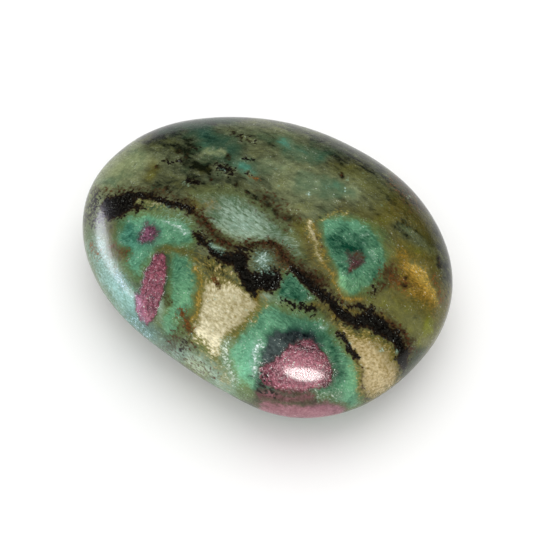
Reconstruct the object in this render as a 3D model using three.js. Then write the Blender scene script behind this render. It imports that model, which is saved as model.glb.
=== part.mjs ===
// A tumbled stone of ruby in fuchsite: one flat, rounded and polished pebble.
// Units are millimetres and +Z is up. The stone lies on its worn, flat underside, and the origin
// is on that underside, below the middle of the stone's box. +X runs along its longest side.
import * as THREE from 'three';
import { mergeVertices } from 'three/addons/utils/BufferGeometryUtils.js';

// The oval seen from above, before the swells are added
const halfLength = 19.8;
const halfWidth = 14.9;
const ovalPower = 2.13; // 2 is an ellipse, and more is squarer

// Wear that leaves the outline a little three-, four- and five-cornered
const cornerSwells = [
  { corners: 3, swell: 0.28, towards: -40 },
  { corners: 4, swell: 0.32, towards: 33 },
  { corners: 5, swell: 0.21, towards: 32 },
];

// One full shoulder and one shallow hollow in the outline
const sideSwells = [
  { name: 'full shoulder', towards: 69, swell: 1.6, spread: 20.8 },
  { name: 'shallow hollow', towards: -64, swell: -0.35, spread: 9 },
];

// The height of the stone at its middle, and of the widest line round its edge
const edgeHeight = 5.8;
const crownHeight = 13.2;
const domePower = 2.25; // 2 is an elliptical dome, and more has a flatter crown and fuller sides
const footShare = 0.3; // the flat underside, as a share of the plan

// The ball of triangles that is pressed into the stone's shape
const ballDetail = 16;

const degree = Math.PI / 180;

// How far the plan reaches from its middle in the direction of an angle, in radians
function reach(angle) {
  const along = Math.abs(Math.cos(angle) / halfLength) ** ovalPower;
  const across = Math.abs(Math.sin(angle) / halfWidth) ** ovalPower;
  let distance = (along + across) ** (-1 / ovalPower);
  for (const { corners, swell, towards } of cornerSwells) {
    distance += swell * Math.cos(corners * (angle - towards * degree));
  }
  for (const { towards, swell, spread } of sideSwells) {
    const turn = Math.cos(angle - towards * degree) - 1;
    distance += swell * Math.exp(turn / (spread * degree) ** 2);
  }
  return distance;
}

// The height over the widest line at a share of the way from the middle to the edge, where the
// full height is 1
function dome(share) {
  return Math.max(0, 1 - share ** domePower) ** (1 / domePower);
}

// Moves a point of the unit ball to its place on the stone
function press(point) {
  const angle = Math.atan2(point.y, point.x);
  const share = Math.min(1, Math.hypot(point.x, point.y)) ** (2 / domePower);
  const distance = reach(angle) * share;
  const pastFoot = Math.max(0, (share - footShare) / (1 - footShare));
  const height =
    point.z >= 0
      ? edgeHeight + (crownHeight - edgeHeight) * dome(share)
      : edgeHeight * (1 - dome(pastFoot));
  point.set(distance * Math.cos(angle), distance * Math.sin(angle), height);
}

function stoneGeometry() {
  const ball = new THREE.IcosahedronGeometry(1, ballDetail);
  ball.deleteAttribute('normal');
  ball.deleteAttribute('uv');
  const geometry = mergeVertices(ball);
  const position = geometry.getAttribute('position');
  const point = new THREE.Vector3();
  for (let i = 0; i < position.count; i += 1) {
    press(point.fromBufferAttribute(position, i));
    position.setXYZ(i, point.x, point.y, point.z);
  }
  geometry.computeBoundingBox();
  const middle = geometry.boundingBox.getCenter(new THREE.Vector3());
  geometry.translate(-middle.x, -middle.y, 0);
  geometry.computeVertexNormals();
  return geometry;
}

const polishedStone = new THREE.MeshStandardMaterial({
  color: new THREE.Color(0.36, 0.41, 0.3),
  roughness: 0.25,
  metalness: 0,
});

const stone = new THREE.Mesh(stoneGeometry(), polishedStone);
stone.name = 'tumbled_stone';

const part = new THREE.Group();
part.add(stone);

export default part;
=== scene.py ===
import math

import bpy
import numpy as np
from mathutils import Matrix, Vector, noise


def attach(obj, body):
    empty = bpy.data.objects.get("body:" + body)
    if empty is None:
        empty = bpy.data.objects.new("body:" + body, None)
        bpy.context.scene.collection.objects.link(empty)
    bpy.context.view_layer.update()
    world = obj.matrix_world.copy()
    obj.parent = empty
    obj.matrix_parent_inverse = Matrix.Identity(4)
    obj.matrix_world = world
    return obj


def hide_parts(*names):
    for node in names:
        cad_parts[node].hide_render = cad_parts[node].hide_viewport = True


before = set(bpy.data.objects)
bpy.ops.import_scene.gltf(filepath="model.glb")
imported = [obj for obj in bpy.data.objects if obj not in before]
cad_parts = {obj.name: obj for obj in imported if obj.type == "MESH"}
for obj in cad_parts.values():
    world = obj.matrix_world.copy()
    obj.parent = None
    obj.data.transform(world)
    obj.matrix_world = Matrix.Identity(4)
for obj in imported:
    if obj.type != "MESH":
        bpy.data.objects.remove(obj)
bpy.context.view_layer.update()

mm = 0.001
degree = math.pi / 180

# The worn pebble, in millimetres. These are the solid's own numbers, so the fine mesh lies on it.
stoneShape = {
    "halfLength": 19.8,
    "halfWidth": 14.9,
    "ovalPower": 2.13,  # 2 is an ellipse, and more is squarer
    "cornerSwells": [(3, 0.28, -40), (4, 0.32, 33), (5, 0.21, 32)],  # corners, swell, direction
    "sideSwells": [(69, 1.6, 20.8), (-64, -0.35, 9)],  # direction, swell, spread
    "edgeHeight": 5.8,
    "crownHeight": 13.2,
    "domePower": 2.25,  # 2 is an elliptical dome, and more has a flatter crown
    "footShare": 0.3,  # the flat underside, as a share of the plan
    "topRings": 144,  # rings of vertices from the crown to the widest line
    "sideRings": 18,  # full rings below the widest line
    "discGap": 1.5,  # spaces between rings from the last full ring to the underside's disc
    "meanReach": 17.3,  # used only to space the rings evenly
    "samples": 2001,  # points of the side view that the rings are spaced along
}
sectors = 6  # each ring of a disc has this many vertices more than the ring inside it


def reach(angle):  # how far the plan goes from its middle
    s = stoneShape
    along = np.abs(np.cos(angle) / s["halfLength"]) ** s["ovalPower"]
    across = np.abs(np.sin(angle) / s["halfWidth"]) ** s["ovalPower"]
    distance = (along + across) ** (-1 / s["ovalPower"])
    for corners, swell, towards in s["cornerSwells"]:
        distance = distance + swell * np.cos(corners * (angle - towards * degree))
    for towards, swell, spread in s["sideSwells"]:
        turn = np.cos(angle - towards * degree) - 1
        distance = distance + swell * np.exp(turn / (spread * degree) ** 2)
    return distance


def sideView():  # share of the reach and height: crown to widest line, then widest line to underside
    s = stoneShape
    power = 2 / s["domePower"]
    turn = np.linspace(0, math.pi / 2, s["samples"])
    out, rise = np.cos(turn) ** power, np.sin(turn) ** power
    rise[0], out[-1] = 0, 0
    top = np.c_[out, s["edgeHeight"] + (s["crownHeight"] - s["edgeHeight"]) * rise][::-1]
    under = np.c_[s["footShare"] + (1 - s["footShare"]) * out, s["edgeHeight"] * (1 - rise)]
    return top, np.vstack([under, [[0, 0]]])


def spaced(line, steps):  # points of the side view at given distances along it
    metric = line * [stoneShape["meanReach"], 1]
    travel = np.r_[0, np.cumsum(np.hypot(*np.diff(metric, axis=0).T))]
    at = steps(travel[-1])
    return np.c_[np.interp(at, travel, line[:, 0]), np.interp(at, travel, line[:, 1])]


def discSize(rings):  # vertices of a disc with so many rings round its middle one
    return 1 + sectors * rings * (rings + 1) // 2


def discFaces(rings, first):  # first is the number of its middle vertex
    def ringStart(k):
        return first + (discSize(k - 1) if k else 0)

    faces = []
    for k in range(1, rings + 1):
        here = np.arange(sectors * k)
        sector, step = np.divmod(here, k)
        outer = ringStart(k) + here
        outerNext = ringStart(k) + (here + 1) % (sectors * k)
        count = max(1, sectors * (k - 1))
        inner = ringStart(k - 1) + (sector * (k - 1) + step) % count
        innerNext = ringStart(k - 1) + (sector * (k - 1) + step + 1) % count
        faces.append(np.c_[inner, outer, outerNext])
        faces.append(np.c_[inner, outerNext, innerNext][step < k - 1])
    return np.vstack(faces)


def ringPoints(share, height, count):
    angle = 2 * math.pi * np.arange(count) / count
    distance = reach(angle) * share
    return np.c_[distance * np.cos(angle), distance * np.sin(angle), np.full(count, height)]


def stoneMesh():  # a disc for the top, full rings down the side, and a disc for the underside
    rings, sides = stoneShape["topRings"], stoneShape["sideRings"]
    half = rings // 2  # the underside's disc has half the rings of the top's
    around = sectors * rings
    top, under = sideView()
    topLine = spaced(top, lambda end: np.linspace(0, end, rings + 1))
    step = np.hypot(*((topLine[-1] - topLine[-2]) * [stoneShape["meanReach"], 1]))
    sideLine = spaced(under, lambda end: step * np.arange(1, sides + 1))
    discEdge = step * (sides + stoneShape["discGap"])
    underLine = spaced(under, lambda end: np.linspace(end, discEdge, half + 1))
    points = [ringPoints(0, topLine[0][1], 1)]
    points += [ringPoints(*topLine[k], sectors * k) for k in range(1, rings + 1)]
    points += [ringPoints(*line, around) for line in sideLine]
    points += [ringPoints(0, 0, 1)]
    points += [ringPoints(*underLine[k], sectors * k) for k in range(1, half + 1)]
    faces = [discFaces(rings, 0)]
    upper = discSize(rings - 1)
    here, after = np.arange(around), (np.arange(around) + 1) % around
    for _ in range(sides):
        lower = upper + around
        faces.append(np.c_[upper + here, lower + here, lower + after])
        faces.append(np.c_[upper + here, lower + after, upper + after])
        upper = lower
    underFirst = upper + around
    lower = underFirst + discSize(half - 1)
    j = np.arange(around // 2)  # two vertices of the last full ring stand over each of the disc's
    nextJ = (j + 1) % (around // 2)
    faces.append(np.c_[upper + 2 * j, lower + j, upper + 2 * j + 1])
    faces.append(np.c_[upper + 2 * j + 1, lower + j, lower + nextJ])
    faces.append(np.c_[upper + 2 * j + 1, lower + nextJ, upper + (2 * j + 2) % around])
    faces.append(discFaces(half, underFirst)[:, ::-1])
    return np.vstack(points), np.vstack(faces)


def vertexNormals(points, faces):
    a, b, c = (points[faces[:, i]] for i in range(3))
    cross = np.cross(b - a, c - a)
    total = np.zeros_like(points)
    for i in range(3):
        for axis in range(3):
            total[:, axis] += np.bincount(faces[:, i], cross[:, axis], len(points))
    return total / np.linalg.norm(total, axis=1)[:, None]


points, faces = stoneMesh()
directions = 3600  # enough to find the plan's box, on which the stone is centred
allRound = 2 * math.pi * np.arange(directions) / directions
plan = np.c_[np.cos(allRound), np.sin(allRound)] * reach(allRound)[:, None]
middle = np.r_[(plan.max(axis=0) + plan.min(axis=0)) / 2, 0]
points = points - middle
normals = vertexNormals(points, faces)
print("stone mesh", len(points), "vertices", len(faces), "triangles")

# The camera that the photograph was read with, in degrees and millimetres
photoCamera = {
    "azimuth": 38.0,
    "elevation": 57.0,
    "distance": 150.0,
    "lens": 100.0,
    "sensor": 36.0,
    "frame": 533.0,  # pixels across the square picture
    "aim": (0.92, -0.87, 6.0),  # before the stone is centred on its box
    "clip": (0.01, 10),  # metres
    "grazing": 0.02,  # how far the surface has to face the camera to be read
}
azimuth, elevation = photoCamera["azimuth"] * degree, photoCamera["elevation"] * degree
back = np.array([
    math.sin(azimuth) * math.cos(elevation), -math.cos(azimuth) * math.cos(elevation), math.sin(elevation)])
right = np.array([math.cos(azimuth), math.sin(azimuth), 0])
up = np.cross(back, right)
eye = np.array(photoCamera["aim"]) - middle + photoCamera["distance"] * back
focal = photoCamera["lens"] / photoCamera["sensor"] * photoCamera["frame"]


def toPhoto(places):  # the pixels of the photograph at which places are seen
    v = places - eye
    depth = -v @ back
    centre = photoCamera["frame"] / 2
    return np.c_[centre + focal * (v @ right) / depth, centre - focal * (v @ up) / depth]


def poseOf(x, y, z, place):  # an object's own axes, and its place in millimetres
    return Matrix([[x[i], y[i], z[i], place[i] * mm] for i in range(3)] + [[0, 0, 0, 1]])


cameraData = bpy.data.cameras.new("photoCamera")
cameraData.lens, cameraData.sensor_width = photoCamera["lens"], photoCamera["sensor"]
cameraData.clip_start, cameraData.clip_end = photoCamera["clip"]
camera = bpy.data.objects.new("photoCamera", cameraData)
camera.matrix_world = poseOf(right, up, back, eye)
bpy.context.scene.collection.objects.link(camera)
bpy.context.scene.camera = camera
print("camera set")


# A mark of a mineral is a patch with an edge, a seam with a path and a width, or specks with a
# width. fade is how far it fades, share how much of it is that mineral, and light how bright it is
# drawn. warm turns its colours to yellow and bare rock to ochre, or below 0 to blue and to teal.
def patch(edge, fade, **look):
    return {"lines": [edge], "closed": True, "width": 0, "fade": fade, **look}


def seam(path, width, fade, **look):
    return {"lines": [path], "closed": False, "width": width, "fade": fade, **look}


def specks(spots, width, fade, **look):
    return {"lines": [[spot, spot] for spot in spots], "closed": False, "width": width, "fade": fade, **look}


# The minerals that the photograph shows, drawn in its pixels. Later minerals lie over
# earlier ones, and each mark sets the light and the warmth anew.
marks = {
    "schist": {
        "rightSide": seam([(400, 190), (430, 240), (425, 300), (400, 320)], 45, 38, light=-0.1, warm=0.8),
        "topRight": seam([(330, 150), (390, 185), (425, 215)], 18, 18, light=-0.3, warm=0.1),
        "topDark": seam([(185, 128), (225, 145), (262, 165)], 20, 18, light=-0.22, warm=-0.3),
        "middlePale": seam([(290, 175), (320, 190), (350, 196)], 17, 18, light=0.12, warm=-0.05),
        "leftPale": seam([(102, 182), (120, 168), (146, 150)], 12, 12, light=0.6, warm=-0.1),
        "tealBand": seam([(196, 128), (214, 141), (228, 150)], 8, 8, light=-0.45, warm=-0.7),
        "tealLens": seam([(286, 146), (302, 151), (322, 156)], 7, 7, light=0.1, warm=-0.6),
        "blueFleck": seam([(280, 142), (288, 144)], 2.5, 4, light=0.25, warm=-1),
        "tealUnder": seam([(306, 180), (334, 188)], 6, 6, light=0.25, warm=-0.6),
        "tealLeft": seam([(100, 182), (112, 180)], 3, 4, light=0.25, warm=-0.5),
        "tealSmall": seam([(206, 177), (218, 181)], 3, 3, light=0.1, warm=-0.7),
        "tealRight": seam([(403, 226), (430, 246)], 6, 6, light=-0.15, warm=-0.4),
        "greenRight": seam([(328, 188), (352, 194)], 6, 5, light=0.4, warm=-0.4),
        "darkTopLeft": seam([(152, 140), (168, 143), (184, 150)], 9, 9, light=-0.55),
        "darkTopRight": seam([(318, 142), (352, 152)], 8, 8, light=-0.45, warm=-0.25),
        "oliveTop": seam([(338, 163), (364, 168)], 7, 7, light=-0.25, warm=0.4),
        "oliveMiddle": seam([(343, 208), (366, 215)], 6, 6, light=-0.2, warm=0.5),
        "paleStreak": seam([(203, 152), (223, 153)], 2.5, 3, light=0.5),
        "paleRight": seam([(278, 187), (302, 184)], 5, 5, light=0.3),
        "yellowLeft": seam([(148, 178), (154, 168)], 5, 6, warm=0.7),
        "yellowRight": seam([(378, 219), (398, 207)], 7, 7, warm=0.8),
        "veinShoulder": seam([(160, 182), (205, 190), (235, 195), (258, 200)], 8, 9, light=-0.35,
            warm=0.15),
        "underEye": seam([(345, 302), (368, 299), (392, 296)], 7, 6, light=0.05, warm=0.55),
        "greenUnder": seam([(380, 304), (396, 311), (412, 326)], 10, 7, light=0.2, warm=0.5),
        "oliveRight": seam([(420, 316), (425, 345)], 11, 9, light=0.35, warm=0.4),
        "oliveAboveVein": seam([(268, 238), (300, 250), (316, 268)], 8, 7, light=0.05, warm=0.35),
        "oliveLeftEye": seam([(294, 215), (302, 232), (310, 246)], 8, 6, warm=0.7),
        # painted shade: the far rim, from the top left round to the right, is drawn darker for the dim
        # surroundings that its polish mirrors
        "topRimShade": seam([(146, 136), (170, 124), (205, 114), (260, 110), (320, 122), (375, 152), (420, 198),
            (444, 245), (448, 275)], 9, 8, light=-0.5, warm=0.1),
        "tealTop": seam([(188, 124), (197, 126), (206, 131)], 5, 6, light=-0.5, warm=-1),
        "tealPatch": seam([(240, 165), (245, 170), (250, 174)], 7, 4, light=0.25, warm=-0.9),
        "tealMiddle": seam([(208, 176), (222, 178)], 4, 5, light=0.15, warm=-0.9),
        "paleCloud": seam([(300, 184), (316, 188), (330, 190)], 7, 8, light=0.2, warm=-0.4),
        "darkCloud": seam([(186, 166), (198, 170), (214, 176), (236, 182)], 7, 8, light=-0.45),
        "oliveCloud": seam([(256, 150), (272, 156)], 7, 8, light=-0.1, warm=0.15),
        "bedTop": patch([(203, 262), (214, 256), (227, 261), (237, 270), (247, 290), (228, 293),
            (206, 284)], 6, light=-0.4, warm=0.5),
        "paleVein": seam([(292, 206), (306, 212)], 6, 6, light=0.35, warm=0.05),
        "paleUpper": seam([(268, 164), (284, 168)], 6, 7, light=0.25, warm=-0.3),
        "knotShade": seam([(194, 167), (207, 171)], 3.5, 4.5, light=-0.9, warm=0.3),
        # painted shade: more of the far rim at the top left is drawn darker
        "rimShade": seam([(160, 131), (190, 122), (230, 113)], 7, 7, light=-0.75, warm=-0.6),
        "rightRim": seam([(443, 300), (437, 318), (430, 330)], 5, 6, light=0.1, warm=0.6),
        "eyeRight": seam([(390, 252), (392, 264)], 5, 5, light=0.6, warm=0.2),
        "rightEdge": seam([(404, 198), (419, 220), (431, 240)], 6, 7, light=-0.7, warm=0.6),
    },
    "mint": {
        "mintField": patch([(196, 195), (214, 190), (236, 195), (254, 203), (272, 214), (288, 230),
            (301, 245), (306, 258), (292, 257), (274, 246), (258, 243), (240, 243), (224, 239), (210, 226),
            (202, 210)], 6, share=0.95, light=-0.45, warm=0.05),
        # partly painted sheen: the mint's heart is drawn paler where a soft sheen lies on the crown
        "mintHeartSheen": seam([(234, 218), (246, 223), (256, 225)], 6, 9, light=0.05, warm=-0.1),
        "oliveMint": seam([(220, 231), (238, 238), (258, 238)], 5, 6, light=0.1, warm=0.2),
        # partly painted reflection: the mint-grey lower-left rim is drawn paler and bluer for the haze that
        # its polish reflects
        "rimMintAndReflection": seam([(97, 248), (107, 275), (121, 297), (138, 318), (156, 335), (178, 350), (205, 362),
            (228, 385)], 16, 9, share=0.85, light=0.4, warm=-0.9),
        # partly painted highlight: a teal streak is drawn pale and blue where the gloss stripe on the left
        # shoulder falls
        "rimTealAndHighlight": seam([(116, 278), (127, 295), (138, 314)], 8, 8, light=0.8, warm=-1),
        "rimTealLow": seam([(207, 370), (222, 382)], 6, 6, light=0.55, warm=-0.2),
        "rimOlive": seam([(195, 350), (210, 358)], 6, 7, warm=0.2),
        "betweenRubies": seam([(160, 306), (164, 324)], 8, 6, light=0.1, warm=-0.2),
        "underTriangle": seam([(262, 296), (280, 300), (300, 300)], 7, 6, light=-0.15),
        "tealFlake": seam([(209, 244), (221, 250)], 3.5, 3),
        "rimPale": seam([(190, 362), (204, 373)], 5, 5, light=1, warm=0.5),
        "headEdge": seam([(184, 214), (192, 220)], 4, 5, light=-0.3, warm=0.2),
    },
    "emerald": {
        "head": patch([(114, 240), (121, 223), (131, 214), (145, 211), (161, 213), (175, 216), (187, 219),
            (193, 228), (196, 239), (192, 247), (178, 250), (162, 251), (151, 260), (145, 272), (138, 280),
            (130, 274), (124, 262), (127, 254), (120, 248)], 5, light=-0.05),
        "headTeal": seam([(128, 226), (131, 246)], 7, 7, light=-0.25, warm=-1),
        "headTop": seam([(140, 217), (160, 215), (178, 220)], 4, 6, light=0.15, warm=0.1),
        "headLower": seam([(165, 238), (188, 240)], 6, 6, light=-0.1, warm=0.1),
        "headTail": seam([(133, 258), (136, 270)], 6, 6, warm=-0.3),
        "column": patch([(169, 254), (180, 252), (190, 256), (197, 266), (199, 282), (197, 300), (190, 312),
            (181, 320), (181, 331), (172, 340), (162, 335), (160, 320), (168, 308), (168, 290)], 5,
            light=-0.1, warm=0.25),
        "columnTop": seam([(176, 262), (186, 276)], 6, 7, light=-0.2),
        "columnPale": seam([(184, 290), (178, 310), (170, 330)], 8, 8, light=0.1, warm=0.3),
        "triangle": patch([(290, 270), (301, 277), (310, 288), (317, 301), (303, 306), (288, 304),
            (275, 299), (274, 286), (279, 276)], 4, light=-0.35),
        "ring": patch([(226, 352), (231, 339), (241, 330), (250, 322), (255, 312), (263, 304), (273, 304),
            (284, 308), (296, 312), (310, 313), (321, 317), (331, 327), (340, 340), (350, 353), (357, 368),
            (361, 384), (361, 402), (350, 409), (338, 404), (320, 398), (290, 397), (262, 397), (246, 391),
            (235, 378), (229, 365)], 5),
        "ringLeft": seam([(236, 345), (236, 362), (242, 382)], 8, 9, light=0.38, warm=-0.3),
        "ringFoot": seam([(236, 370), (242, 384)], 6, 7, light=0.6, warm=0.1),
        "ringLeftInner": seam([(252, 333), (248, 350)], 5, 8, light=-0.05),
        "ringTop": seam([(292, 316), (304, 319), (321, 325)], 6, 7, light=-0.3, warm=0.1),
        "ringRight": seam([(349, 360), (353, 374), (353, 384)], 5, 6, light=0.45, warm=0.4),
        "ringRightInner": seam([(326, 335), (336, 352), (337, 375)], 6, 6, light=-0.45, warm=0.2),
        "eye": patch([(320, 221), (330, 216), (344, 216), (357, 219), (368, 225), (379, 235), (387, 249),
            (390, 264), (386, 275), (377, 283), (367, 290), (355, 295), (345, 294), (338, 286), (333, 272),
            (328, 256), (322, 239)], 3.5, light=-0.1),
        "eyeTop": seam([(336, 225), (350, 223)], 5, 6),
        "eyePale": seam([(366, 236), (380, 256), (374, 274)], 7, 8, light=-0.35, warm=0.3),
        "eyeFoot": seam([(343, 284), (362, 287)], 7, 6, light=-0.2, warm=0.6),
        "eyeDark": seam([(338, 239), (345, 246), (354, 250)], 3.5, 7, light=-1),
        "ringPale": seam([(253, 347), (250, 358), (249, 370)], 3.5, 5, light=0.6, warm=-0.6),
        "eyeTopDark": seam([(344, 232), (352, 234)], 4, 5, light=-0.35),
        "eyeLeft": seam([(334, 250), (340, 266)], 4, 5, light=-0.4, warm=0.1),
        "eyeFootPale": seam([(337, 281), (343, 291)], 4.5, 5, light=0.75, warm=0.6),
    },
    "cream": {
        "bed": patch([(202, 282), (212, 276), (224, 281), (236, 281), (248, 291), (260, 299), (257, 312),
            (248, 322), (236, 329), (225, 339), (222, 352), (211, 349), (200, 341), (192, 332), (196, 315),
            (199, 303)], 5),
        "bedPale": seam([(201, 335), (210, 343), (218, 350)], 7, 7, light=0.7),
        "bedHeart": seam([(214, 318), (222, 312)], 8, 9, light=0.1),
        "bedRightSide": seam([(245, 298), (238, 312)], 8, 8, light=-0.2),
        "bedFlakes": seam([(204, 270), (222, 270), (241, 281)], 9, 8, share=0.46, light=0.1),
        "footStrip": seam([(217, 354), (220, 368), (227, 384)], 3, 4, share=0.7, light=0.1),
        "corner": patch([(336, 318), (346, 326), (358, 334), (374, 340), (385, 346), (394, 356), (400, 368),
            (398, 379), (387, 390), (374, 397), (362, 395), (358, 380), (355, 362), (351, 347), (342, 330)],
            4.5, light=-0.25, warm=0.5),
        "cornerPale": seam([(373, 362), (374, 378)], 6, 8, warm=0.4),
        "eyeRimTop": seam([(320, 218), (335, 213), (350, 214)], 1.2, 2, share=0.6, light=-0.3),
        "eyeRim": seam([(309, 222), (312, 236), (318, 250), (322, 260)], 2.8, 2.5, light=0.1),
        "veinWindow": seam([(137, 203), (147, 202), (158, 204)], 3.2, 3, share=0.8, light=-0.3, warm=-1),
        "greyPinkBed": seam([(228, 262), (240, 279)], 3, 3, share=0.7),
    },
    "ochre": {
        "bedLeft": seam([(198, 268), (200, 285), (198, 302), (194, 318), (190, 328)], 3, 3.5, light=0.2),
        "bedRight": seam([(262, 288), (258, 303), (250, 317), (238, 328), (227, 339)], 3, 4, share=0.75,
            light=0.25),
        "eyeRimLow": seam([(323, 262), (329, 275), (336, 288), (345, 297), (362, 298)], 3.5, 4),
        "eyeRimOuter": seam([(314, 222), (317, 238), (324, 254)], 2, 2.5),
        "oliveLeft": seam([(306, 240), (313, 256), (320, 272), (329, 288)], 5, 5, share=0.6, light=-0.3),
        "gold": patch([(393, 249), (403, 247), (414, 256), (425, 266), (435, 279), (441, 296), (437, 313),
            (425, 312), (414, 303), (404, 296), (395, 289), (396, 266)], 8, share=0.9, light=-0.3,
            warm=0.4),
        "goldPale": seam([(413, 264), (422, 273), (431, 286), (437, 299)], 4, 5, light=0.65, warm=0.2),
        "goldLow": seam([(412, 300), (424, 308), (434, 312)], 6, 8, share=0.5, light=-0.15, warm=0.2),
        "patchLeft": seam([(195, 205), (212, 204)], 5, 5, share=0.8, light=-0.35),
        "underVein": seam([(313, 304), (326, 309), (336, 317)], 5, 4, share=0.75, light=-0.35),
        "veinLens": seam([(338, 306), (352, 311), (361, 314)], 4, 3, share=0.8, light=-0.45),
        "veinTop": seam([(378, 314), (388, 319), (400, 329)], 2, 2, light=-0.1),
        "headLine": seam([(160, 250), (176, 251), (190, 255), (200, 262)], 2.2, 3, share=0.8, light=-0.6),
        "headLeft": seam([(113, 228), (112, 246), (121, 254)], 4, 4, share=0.6, light=-0.3),
        "veinFoot": seam([(258, 291), (257, 298)], 4, 3, light=-0.3),
        "cornerOlive": seam([(376, 344), (388, 352), (394, 364)], 4, 5, share=0.6, light=-0.25),
        "cornerEdge": seam([(356, 362), (360, 378), (363, 392)], 2, 2.5, share=0.7, light=0.3),
        "rightFar": seam([(398, 208), (418, 226)], 7, 8, share=0.4, light=-0.5),
        "goldUnder": seam([(396, 288), (406, 297)], 4, 5, share=0.8, light=0.1, warm=0.4),
    },
    "rust": {
        "ballRight": seam([(272, 247), (283, 253), (291, 263)], 6, 5, share=0.9, light=-0.3),
        "rightSpot": seam([(390, 272), (397, 280), (404, 283)], 6, 5, share=0.9, light=-0.1),
        "farRim": seam([(396, 183), (407, 192), (418, 205)], 5, 6, share=0.55, light=-0.15),
        "spot": seam([(250, 177), (256, 179)], 2, 2, share=0.8),
        "bedSpeck": seam([(213, 278), (219, 286)], 1.6, 1.4, light=-0.4),
        "rimLine": seam([(432, 276), (440, 290), (443, 303)], 2, 2.5, share=0.8, light=-0.1),
        "flecksLeft": seam([(93, 245), (98, 254)], 3.5, 3.5, share=0.6, light=0.3),
        "headBrown": seam([(114, 247), (121, 252), (127, 254)], 3, 2.5, share=0.7, light=-0.2),
        "redStreak": seam([(182, 309), (184, 316), (188, 323), (191, 331)], 3, 2.4, share=0.95, light=-0.15,
            warm=-0.2),
    },
    "slate": {
        "halo": patch([(258, 368), (260, 352), (265, 341), (273, 333), (288, 329), (304, 327), (316, 331),
            (323, 341), (318, 350), (290, 362), (270, 368)], 4.5, light=-0.2),
        "haloBlue": seam([(296, 332), (312, 333)], 5, 6, light=-0.4, warm=-0.3),
        "haloLow": seam([(265, 356), (268, 346), (280, 346)], 4, 6, light=0.1),
        "lensGap": seam([(167, 258), (169, 270), (166, 285), (163, 299)], 1.8, 3, share=0.7, light=-0.3),
        "spotHalo": seam([(139, 236), (147, 244), (158, 243)], 4, 5, share=0.55, light=0.1),
        "eyeSlate": seam([(352, 238), (362, 243), (366, 256)], 4, 5, share=0.4, light=-0.1),
        "lensFoot": seam([(142, 328), (156, 332), (168, 345)], 7, 6, share=0.6, light=0.4),
        "cornerFoot": seam([(403, 373), (412, 363), (420, 353)], 5, 6, share=0.7, light=-0.5, warm=0.8),
        "haloFoot": seam([(256, 377), (262, 387), (272, 392)], 4.5, 4, share=0.9, warm=0.4),
    },
    "ruby": {
        "big": patch([(297, 341), (308, 338), (318, 342), (324, 350), (330, 360), (334, 371), (333, 382),
            (326, 388), (312, 390), (294, 392), (278, 390), (266, 384), (259, 376), (259, 367), (270, 361),
            (279, 352), (287, 346)], 3),
        "bigTop": seam([(300, 345), (318, 350)], 5, 6, light=-0.35),
        "bigLeft": seam([(263, 366), (268, 380)], 3, 6, light=-0.1),
        # painted light: the big ruby is drawn paler round the spot where the front lamp's gloss falls
        "bigHeartLit": seam([(284, 366), (300, 362), (314, 368)], 7, 8, light=0.3),
        "bigFootLit": seam([(276, 385), (298, 388), (316, 386)], 4, 5, light=0.35),
        "bigRight": seam([(323, 354), (330, 369), (329, 383)], 3.5, 6, light=-0.3, warm=0.4),
        "lensBody": patch([(153, 256), (159, 253), (165, 258), (167, 270), (165, 284), (163, 297),
            (158, 308), (155, 317), (149, 326), (141, 323), (134, 312), (136, 302), (140, 292), (142, 282),
            (147, 270)], 2.5),
        # painted sheen: the lens ruby's lower end is drawn pale lavender for the lamp's sheen on it
        "lensSheen": seam([(138, 296), (139, 312), (145, 322)], 4, 5, light=0.7, warm=-1),
        "spotCore": patch([(137, 239), (139, 229), (147, 223), (156, 225), (159, 233), (152, 243),
            (143, 244)], 5, share=0.85, light=-0.05, warm=-1),
        "eyeCore": patch([(347, 254), (356, 251), (364, 254), (363, 262), (354, 269), (346, 272),
            (346, 262)], 3.5, share=0.72, light=-0.45),
    },
    "pink": {
        "footPink": patch([(258, 403), (270, 400), (288, 403), (305, 404), (322, 402), (338, 402),
            (345, 407), (344, 415), (325, 426), (296, 428), (272, 424), (258, 412)], 4, share=0.95),
        "footVivid": seam([(316, 406), (338, 407)], 4, 5, light=-0.1, warm=-0.2),
        "footBand": seam([(262, 395), (285, 396), (312, 397)], 6, 4, share=0.9, light=-0.75, warm=0.2),
    },
    "brown": {
        "veinTopLeft": seam([(96, 192), (110, 190), (130, 189), (150, 190), (168, 195), (186, 202)], 2, 3,
            share=0.8),
        "veinTurn": seam([(188, 204), (197, 211), (205, 219), (212, 231), (220, 241), (232, 246),
            (246, 247)], 5, 4, light=-0.3, warm=0.3),
        "ballCap": seam([(246, 245), (258, 243), (270, 245), (281, 252), (292, 263), (304, 270), (314, 279),
            (322, 286)], 5, 3.5, light=-0.25),
        "veinUpper": seam([(328, 293), (340, 299), (352, 304), (364, 307), (382, 317), (396, 329)], 2.4, 3),
        "cornerTop": seam([(388, 321), (398, 328), (407, 338), (411, 350)], 4, 3),
        "cornerLine": seam([(355, 357), (359, 370), (362, 382), (364, 398)], 0.8, 1.6, share=0.8),
        "cluster": seam([(173, 346), (179, 337), (186, 345)], 7, 5, share=0.62, light=0.1),
        "rightDark": seam([(391, 270), (386, 278), (379, 285), (374, 289)], 4.5, 3.5, share=0.75,
            light=-0.2),
        "brownZone": seam([(262, 200), (275, 209), (288, 218)], 6, 7, share=0.62, light=-0.55),
        "lensSpot": seam([(166, 298), (168, 303)], 2.8, 3, share=0.7, light=-0.2),
        "rimLow": seam([(180, 356), (197, 367), (212, 374)], 5, 5, share=0.4, light=0.6),
        "eyeEdge": seam([(352, 255), (362, 256)], 1.3, 1.5, share=0.8, light=0.2),
        "eyeEdgeLow": seam([(349, 267), (357, 267)], 1.3, 1.5, share=0.8, light=0.2),
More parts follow.
